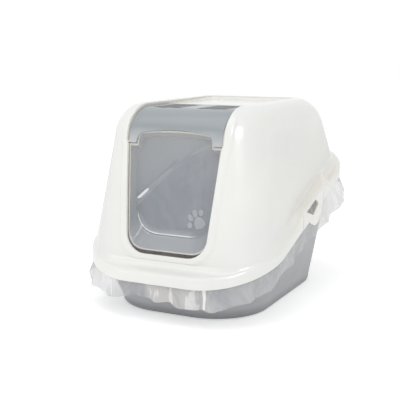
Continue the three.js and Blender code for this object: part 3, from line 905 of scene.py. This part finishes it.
def make_filter():
    inset = WELL["wall"] + 1.5
    low, thick = WELL["floor"] + WELL["wall"] + 0.4, 9
    half, front, back = WELL["half"] - inset, WELL["front"] + inset, WELL["back"] - inset
    bm = bmesh.new()
    bmesh.ops.create_grid(bm, x_segments=56, y_segments=36, size=0.5)
    for v in bm.verts:
        x, y = v.co.x * 2 * half, front + (v.co.y + 0.5) * (back - front)
        near = min(half - abs(x), y - front, back - y)
        uneven = 0.35 * math.sin(x * 0.31) * math.sin(y * 0.27) - 0.9 * math.exp(-near / 1.8)
        v.co = Vector((x, y, low + thick + uneven)) * MM
    mesh = bpy.data.meshes.new("filter_foam")
    bm.to_mesh(mesh)
    bm.free()
    pad = placed(mesh, FOAM)
    face_towards(pad, (0, 0, 1))
    thickened(pad, thick - 1, 0.8)
    attach(pad, "hood", ["filter_pad"])


def turned(profile, axis_from, axis_to, material, name, sides=28):
    """A solid turned about the line from one point to another: profile is (distance along, radius)."""
    start, end = Vector(axis_from), Vector(axis_to)
    turn = (end - start).to_track_quat("Z", "Y").to_matrix()
    angle = np.linspace(0, 2 * np.pi, sides, endpoint=False)
    round_axis = [(math.cos(a), math.sin(a)) for a in angle]
    rings = [[list(turn @ Vector((r * c, r * s, h)) + start) for c, s in round_axis] for h, r in profile]
    return make_object(name, *loft(rings, first=True, last=True), material)


def make_bosses():
    """The bored blocks inside the hood that hold the door's pins."""
    hinge = np.array([AXIS.y, AXIS.z])
    outline = rounded([hinge + corner for corner in ((-3.4, -7), (6.5, -7), (6.5, 7), (-3.4, 7))], 2.5, 5)
    angle = np.linspace(0, 2 * np.pi, 24, endpoint=False)
    bore = hinge + 3 * np.column_stack([np.cos(angle), np.sin(angle)])
    for side, name in SIDES:
        boss = flat_plate(f"pin_boss_{name}", outline, [bore], (side * 96.6, side * 107), WHITE, 0.5)
        attach(boss, "hood")


def flat_plate(name, outline, holes, x, material, edge):
    """A plate drawn in Y and Z between two values of x, with holes and softened edges."""
    curve = bpy.data.curves.new(name, "CURVE")
    curve.dimensions, curve.fill_mode = "2D", "BOTH"
    for line in [outline, *holes]:
        spline = curve.splines.new("POLY")
        spline.points.add(len(line) - 1)
        for p, (u, v) in zip(spline.points, line):
            p.co = (u * MM, v * MM, 0, 1)
        spline.use_cyclic_u = True
    thick = abs(x[1] - x[0])
    curve.extrude = (thick / 2 - edge) * MM
    curve.bevel_depth, curve.bevel_resolution, curve.offset = edge * MM, 3, -edge * MM
    holder = bpy.data.objects.new(name, curve)
    bpy.context.scene.collection.objects.link(holder)
    bpy.context.view_layer.update()
    mesh = bpy.data.meshes.new_from_object(holder.evaluated_get(bpy.context.evaluated_depsgraph_get()))
    bpy.data.objects.remove(holder)
    middle = (x[0] + x[1]) / 2 * MM
    mesh.transform(Matrix(((0, 0, 1, middle), (1, 0, 0, 0), (0, 1, 0, 0), (0, 0, 0, 1))))
    mesh.name = name
    bm = bmesh.new()
    bm.from_mesh(mesh)
    bmesh.ops.remove_doubles(bm, verts=bm.verts, dist=0.00001)
    bmesh.ops.recalc_face_normals(bm, faces=bm.faces)
    bm.to_mesh(mesh)
    bm.free()
    obj = placed(mesh, material)
    mesh.set_sharp_from_angle(angle=math.radians(38))
    return obj


def make_latches():
    low, top = LATCH["front"], LATCH["back"]
    outline = [(low, inclined(BRIM_LOW, low))] + list(LATCH_TAB) + [
        (top, inclined(LATCH["top"], top)), (low, inclined(LATCH["top"], low))]
    shape = rounded(outline, [1.5] + [5] * (len(LATCH_TAB) - 1) + [3, 2, 2], 5)
    window = rounded(LATCH_WINDOW, [1.2, 5, 4, 2.5, 1.5, 3], 6)
    for side, name in SIDES:
        plate = flat_plate(f"latch_{name}_plate", shape, [window],
                           (side * (HALF_WIDTH - LATCH["thickness"]), side * HALF_WIDTH), WHITE, 0.8)
        attach(plate, f"latch_{name}", [f"side_latch_{name}"])


# ---------------------------------------------------------------- door
def star(outline, angles, centre):
    """Where rays from a centre at the given angles meet a closed outline."""
    p = np.asarray(outline) - centre
    q = np.roll(p, -1, axis=0)
    d = np.stack([np.cos(angles), np.sin(angles)], axis=1)
    e = q - p
    cross = d[:, None, 0] * e[None, :, 1] - d[:, None, 1] * e[None, :, 0]
    cross = np.where(np.abs(cross) < 1e-9, 1e-9, cross)
    t = (p[None, :, 0] * e[None, :, 1] - p[None, :, 1] * e[None, :, 0]) / cross
    u = (p[None, :, 0] * d[:, None, 1] - p[None, :, 1] * d[:, None, 0]) / cross
    t = np.where((u >= -1e-6) & (u <= 1 + 1e-6) & (t > 0), t, 1e9)
    return centre + d * t.min(axis=1)[:, None]


def door_outline(inset):
    """The door's edge about its hinge line, in X and Z."""
    g = DOOR_GAP + inset
    half, bottom = DOORWAY["half_bottom"] - g, DOORWAY["bottom"] - AXIS.z + g
    shoulder, tongue = DOORWAY["half_shoulder"] - g, TONGUE["half"] - inset
    side, crown, r = TONGUE["side"] - inset, TONGUE["crown"] - inset, TONGUE["corner"]
    right = [(half, bottom), (shoulder, 0.8 - inset), (tongue, 0.8 - inset), (tongue, side - 0.6),
             (tongue * 0.55, side + (crown - side) * 0.72), (0, crown)]
    left = [(-x, z) for x, z in right[-2::-1]]
    corner = DOORWAY["corner"]
    return rounded(right + left, [corner, 2.5, 2, r, 60, 200, 60, r, 2, 2.5, corner], 12)


def dish_floor():
    """The edge of the dish's floor about the hinge line: it widens below the tongue."""
    right = [(77.2, -160.5), (85, -9), (71.5, -9), (70, 12.6), (40, 14.4), (0, 15.2)]
    left = [(-x, z) for x, z in right[-2::-1]]
    return rounded(right + left, [50, 4, 3, 9, 60, 200, 60, 9, 3, 4, 50], 12)


def on_door(points):
    """Points measured from the door's hinge line, in the box's own frame."""
    place = Matrix.Translation(AXIS) @ Matrix.Rotation(-DOOR_TILT, 4, "X")
    return np.array([list(place @ Vector(p)) for p in points])


def make_door():
    centre = np.array([0.0, -68.0])
    edge = door_outline(0)
    dense = []
    for a, b in zip(edge, np.roll(edge, -1, axis=0)):
        steps = max(1, int(np.linalg.norm(b - a) / 2.5))
        dense += [a + (b - a) * k / steps for k in range(steps)]
    dense = np.array(dense)
    angles = np.arctan2(dense[:, 1] - centre[1], dense[:, 0] - centre[0])
    face, back = -DOOR_FACE, DOOR_THICKNESS - DOOR_FACE
    floor = star(dish_floor(), angles, centre)

    def ring(inset, y):
        p = star(door_outline(inset), angles, centre)
        return np.column_stack([p[:, 0], np.full(len(p), y), p[:, 1]])

    def slope(inset, share, sunk, lift=0.0):
        """A ring part of the way from the mouth of the dish to its floor."""
        mouth = star(door_outline(inset), angles, centre)
        p = mouth + (floor - mouth) * share
        depth = DISH["depth"] - DISH["lean"] * p[:, 1]
        return np.column_stack([p[:, 0], face + depth * sunk + lift, p[:, 1]])

    def middle(share, lift=0.0):
        p = centre + (floor - centre) * share
        depth = DISH["depth"] - DISH["lean"] * p[:, 1] + 0.8 * (1 - share)
        return np.column_stack([p[:, 0], face + depth + lift, p[:, 1]])

    front = [ring(0, back - 0.4), ring(0, face + 0.7), ring(0.1, face + 0.3), ring(0.4, face + 0.05)]
    front += [ring(0.9, face), ring(1.7, face), slope(2.1, 0, 0, 0.15)]
    front += [slope(2.3, *step) for step in (
        (0.03, 0.03, 0.45), (0.1, 0.1, 0.6), (0.3, 0.32, 0.2), (0.6, 0.64), (0.86, 0.905), (0.93, 0.965),
        (0.965, 0.987), (0.985, 0.997), (1.0, 1.0))]
    front += [middle(t) for t in (0.985, 0.96, 0.9, 0.7, 0.5, 0.3, 0.1)]
    thick = DOOR_THICKNESS
    rear = [ring(0.4, back), slope(1.2, 0, 0, thick + 0.1), slope(0.6, 0.1, 0.1, thick)]
    rear += [slope(0.4, share, sunk, thick) for share, sunk in ((0.5, 0.53), (0.86, 0.93), (0.98, 0.99))]
    rear += [middle(t, thick) for t in (0.97, 0.9, 0.7, 0.4, 0.1)]
    points, faces = loft(rear[::-1] + front, first=True, last=True)
    door = make_object("door_panel", on_door(points), faces, CLEAR)
    attach(door, "door", ["door"])

    def add_turned(name, profile, x_from, x_to):
        part = turned(profile, *on_door([(x_from, 0, 0), (x_to, 0, 0)]), CLEAR, name)
        attach(part, "door")

    shoulder, tip = DOORWAY["half_shoulder"] - DOOR_GAP, 101.5
    for side, name in SIDES:
        inner, root = TONGUE["half"] + 0.6, shoulder - 4
        length, reach = shoulder - inner, tip - root
        barrel = [(0, 2.6), (0.5, 3.2), (length - 0.5, 3.2), (length, 2.7)]
        pin = [(0, 2.4), (reach - 0.7, 2.4), (reach, 1.7)]
        add_turned(f"hinge_barrel_{name}", barrel, side * inner, side * shoulder)
        add_turned(f"hinge_pin_{name}", pin, side * root, side * tip)
    make_paw()


def make_paw():
    """A plain paw of five low frosted pads on the dish, near its lower right corner."""
    pads = [((51.6, -135), (11.3, 11.3), 0.5), ((32.2, -140), (5.2, 5.6), 0.1), ((32.6, -126.5), (5, 7), 0.6),
            ((41, -118), (5, 7.3), 0.4), ((53.5, -115.7), (4.5, 6), -0.1)]
    for k, ((cx, cz), (a, b), tilt) in enumerate(pads):
        angle = np.linspace(0, 2 * np.pi, 40, endpoint=False)
        lobed = 1 + (k == 0) * (0.075 * np.cos(3 * (angle - np.pi / 2)) - 0.03 * np.cos(6 * angle))
        x, z = a * np.cos(angle) * lobed, b * np.sin(angle) * lobed
        x, z = x * math.cos(tilt) - z * math.sin(tilt), x * math.sin(tilt) + z * math.cos(tilt)
        y = -DOOR_FACE + DISH["depth"] - DISH["lean"] * (cz + z) + 0.15
        rings = [np.column_stack([cx + x * t, y - rise, cz + z * t])
                 for t, rise in ((1, -0.4), (1, 0.1), (0.94, 0.4), (0.85, 0.5), (0.5, 0.56), (0.2, 0.6))]
        points, faces = loft(rings, last=True)
        pad = make_object(f"paw_{k}", on_door(points), faces, FROST)
        attach(pad, "door")


# ---------------------------------------------------------------- tray
def ring_columns(count_per_part):
    parts = [np.linspace(k, k + 1, n, endpoint=False) for k, n in enumerate(count_per_part)]
    return np.concatenate(parts + [[5.0]])


def sole(s, count, depth):
    """Rings up the rounded sole of the tray, or up a skin a depth inside it."""
    low = curve_through([(z, inset) for inset, z in [*TRAY_SOLE, (0, TRAY_BASE["level"])]], count)
    return [whole(base_at(s, inset + depth, z + depth)) for z, inset in low]


def between(a, b, count):
    return [a + (b - a) * t for t in np.linspace(0, 1, count)]


def make_tray():
    s = ring_columns((10, 40, 26, 40, 10))
    top, edge, wall, under = RIM["top"], RIM["inset"], RIM["wall_inset"], TRAY_WALL
    step = edge + RIM["lip"]

    def rim(inset, z):
        return whole(brim_at(s, inset, z))

    outer = sole(s, 12, 0)
    outer += between(outer[-1], rim(wall, top - under - 2.5), 14)[1:]
    outer += [rim(inset, top - down) for inset, down in (
        (wall - 0.7, under + 0.7), (wall - 2, under), (step + 1, under), (step, under + 1), (step, 17),
        (step - 0.3, 19.6), (step - 1.5, 20), (edge + 0.4, 19.6), (edge, 19), (edge, 1.4), (edge + 0.5, 0.4),
        (edge + 1.6, 0), (wall + 1.2, 0), (wall + 2.6, 0.6))]
    inner = sole(s, 12, under)
    outer += between(rim(wall + under, top - 2.4), inner[-1], 14)
    tray = make_object("tray_shell", *loft(outer + inner[-2::-1], first=True, last=True), TRAY_GREY)
    attach(tray, "tray", ["tray"])


# ---------------------------------------------------------------- bag liner
def hem(s, is_left):
    """How far the film hangs below the brim at places round the box, and how far its hem stands out."""
    drop_right = np.interp(s, [0, 0.45, 0.62, 1.1, 1.55, 1.8, 2.05, 2.3, 2.75, 3.1, 3.6, 5],
                           [29, 30, 37, 40, 40, 37, 33, 38, 48, 46, 36, 32])
    drop_left = np.interp(s, [0, 0.8, 1.3, 1.6, 2.0, 2.4, 3.0, 3.6, 5], [29, 28, 35, 44, 50, 48, 40, 36, 32])
    flare_right = np.interp(s, [0, 0.8, 1.4, 2.0, 2.4, 2.8, 3.1, 3.5, 5], [2, 1, 0, -2, 1, 11, 20, 10, 4])
    flare_left = np.interp(s, [0, 0.8, 1.3, 1.7, 2.2, 3.0, 5], [2, 3, 6, 8, 10, 9, 4])
    return np.where(is_left, drop_left, drop_right), np.where(is_left, flare_left, flare_right)


def round_ring(ring):
    """The distance round a closed ring, its whole length, and its level outward directions."""
    perimeter = lengths(np.vstack([ring, ring[:1]]))[:-1]
    total = float(np.linalg.norm(ring[0] - ring[-1]) + perimeter[-1])
    out = np.roll(ring, -1, axis=0) - np.roll(ring, 1, axis=0)
    out = np.stack([out[:, 1], -out[:, 0], 0 * out[:, 0]], axis=1)
    return perimeter, total, out / np.linalg.norm(out, axis=1, keepdims=True)


def folds(total, low, high, seed):
    """Folds round a skirt of a total length: where each is, how far it stands out, leans and hangs."""
    rng = np.random.default_rng(seed)
    at = [0.0]
    while at[-1] < total - 1.4 * high:
        at.append(at[-1] + rng.uniform(low, high))
    at = np.array(at)
    side = np.where(np.arange(len(at)) % 2 == 0, 1, -1) * rng.uniform(0.25, 1, len(at))
    return at, side, rng.uniform(-1, 1, len(at)), rng.uniform(-1, 1, len(at))


def film_skirt(top, drop, flare):
    """Rings down the skirt: flat facets between folds that run down it, with smaller ones across them."""
    perimeter, total, out = round_ring(top)

    def around_at(values, at):
        return np.interp(perimeter, np.concatenate([[at[-1] - total], at, [at[0] + total]]),
                         np.concatenate([values[-1:], values, values[:1]]))

    wide, narrow = folds(total, 20, 46, 11), folds(total, 7, 15, 5)
    jag = around_at(wide[3], wide[0]) * 2.6 + around_at(narrow[3], narrow[0]) * 0.9
    step = np.interp((perimeter / total * 17) % 1, [0, 0.9, 1], [1.8, -1.8, 1.8])
    rows = 22
    skirt = []
    for v in np.linspace(0, 1, rows + 1)[1:]:
        push = around_at(wide[1], wide[0] + wide[2] * 9 * v) * (1.0 * v + 5.2 * v**1.2)
        small = 0.9 * math.sin(math.pi * min(v * 1.15, 1)) + 0.8 * v
        push += around_at(narrow[1], narrow[0] + narrow[2] * 3 * v) * small
        p = top + out * (push + flare * v**1.3 + 1.5 * v)[:, None]
        p[:, 2] = top[:, 2] - (drop + (jag + step) * v) * v
        skirt.append(p)
    return skirt


def make_liner():
    s = ring_columns((60, 110, 120, 110, 50))
    gap = FILM["gap"]
    depth = TRAY_WALL + gap

    def brim(inset, z):
        return whole(brim_at(s, inset, z))

    edge, high, tuck, wall_top = RIM["inset"], RIM["top"] + gap, FILM["tuck"], RIM["wall_inset"] + depth
    inside = sole(s, 8, depth)
    wall = between(inside[-1], brim(wall_top, high - 2), 16)[1:]
    over = [brim(*at) for at in (
        (wall_top - 1.5, high), (edge + 1, high), (edge - gap, high - 1.2), (8.5, 82),
        (tuck + 0.6, 76), (tuck, BRIM_LOW))]
    around = whole(np.column_stack([s, s, s]))[:, 1]
    is_left = np.arange(len(around)) >= len(s)
    grid = np.stack(inside + wall + over + film_skirt(over[-1], *hem(around, is_left)))
    perimeter, _, out = round_ring(over[-1])
    # slack wrinkles where the film lies in the tray
    for r in range(len(inside), len(inside) + len(wall)):
        t = (r - len(inside)) / len(wall)
        wrinkle = (np.sin(perimeter * 0.11 + 2.1 * t) + np.sin(perimeter * 0.037 + 1.3)) ** 3 * 0.35
        grid[r] -= out * (np.maximum(wrinkle, 0) * math.sin(math.pi * t))[:, None]
    bag = make_object("bag_film", *loft(grid, first=True), BAG_FILM, tidy=False)
    attach(bag, "tray", ["bag_liner"])


make_hood()
make_roof_panel()
make_seat()
make_well()
make_filter()
make_bosses()
make_cover()
make_latches()
make_door()
make_tray()
make_liner()


# ---------------------------------------------------------------- camera, floor and light
def aimed(name, data, place, target):
    """A camera or a light in the scene, at one place and looking at another."""
    obj = bpy.data.objects.new(name, data)
    obj.location = place
    obj.rotation_mode = "QUATERNION"
    obj.rotation_quaternion = (Vector(target) - Vector(place)).to_track_quat("-Z", "Y")
    bpy.context.scene.collection.objects.link(obj)
    return obj


def softbox(name, place, target, size, power):
    light = bpy.data.lights.new(name, "AREA")
    light.shape, light.size, light.size_y = "RECTANGLE", size[0], size[1]
    light.energy = power
    return aimed(name, light, place, target)


def make_stage():
    camera = bpy.data.cameras.new("camera")
    camera.sensor_width, camera.lens = 36, 75.11
    camera.clip_end = 50
    bpy.context.scene.camera = aimed("camera", camera, (0.7164, -1.5238, 0.4857), (-0.05182, 0, 0.17618))

    n = Nodes("floor_paper")
    grain = n.noise(240, 3)
    paper = n.finish(Base_Color=n.mix(grain, linear(252, 252, 252), linear(250, 250, 250)), Roughness=0.9,
                     Specular_IOR_Level=0.1, Normal=n.bump(grain, 0.05, 0.0002), Emission_Color=(1, 1, 1, 1))
    seen = n.add("ShaderNodeLightPath").outputs["Is Camera Ray"]
    n.put(n.span(seen, 0, 1, 0.2, 0.385), n.shader.inputs["Emission Strength"])
    reach, ground = 30000, -0.2
    corners = [(x * reach, y * reach, ground) for x, y in ((-1, -1), (1, -1), (1, 1), (-1, 1))]
    floor = make_object("floor", corners, [(0, 1, 2, 3)], paper)

    world = bpy.data.worlds.new("studio")
    bpy.context.scene.world = world
    world.use_nodes = True
    tree = world.node_tree
    back = tree.nodes["Background"]
    back.inputs["Color"].default_value = (1, 1, 1, 1)
    # the surroundings are brighter to the camera and in reflections than as a light
    strength = tree.nodes.new("ShaderNodeValue")
    strength.outputs[0].default_value = 0.62
    ray = tree.nodes.new("ShaderNodeLightPath")
    for kind, extra in (("Is Camera Ray", 0.46), ("Is Glossy Ray", 0.36)):
        step = tree.nodes.new("ShaderNodeMath")
        step.operation = "MULTIPLY_ADD"
        tree.links.new(ray.outputs[kind], step.inputs[0])
        step.inputs[1].default_value = extra
        tree.links.new(strength.outputs[0], step.inputs[2])
        strength = step
    tree.links.new(strength.outputs[0], back.inputs["Strength"])

    softbox("top_light", (-0.3, -0.5, 2.6), (0, 0, 0.2), (2.4, 1.8), 14.5)
    softbox("front_light", (-1.6, -2.2, 1.5), (0, 0, 0.2), (1.2, 1.6), 7)
    softbox("corner_light", (1.5, -1.7, 1.9), (0.1, -0.15, 0.3), (0.9, 0.9), 10)
    # only gives the corner its highlight
    glint = softbox("corner_glint", (1.5, -1.76, 1.88), (0.1, -0.15, 0.3), (0.9, 1.7), 34)
    glint.visible_diffuse = False
    bpy.context.scene.view_settings.view_transform = "Standard"


make_stage()
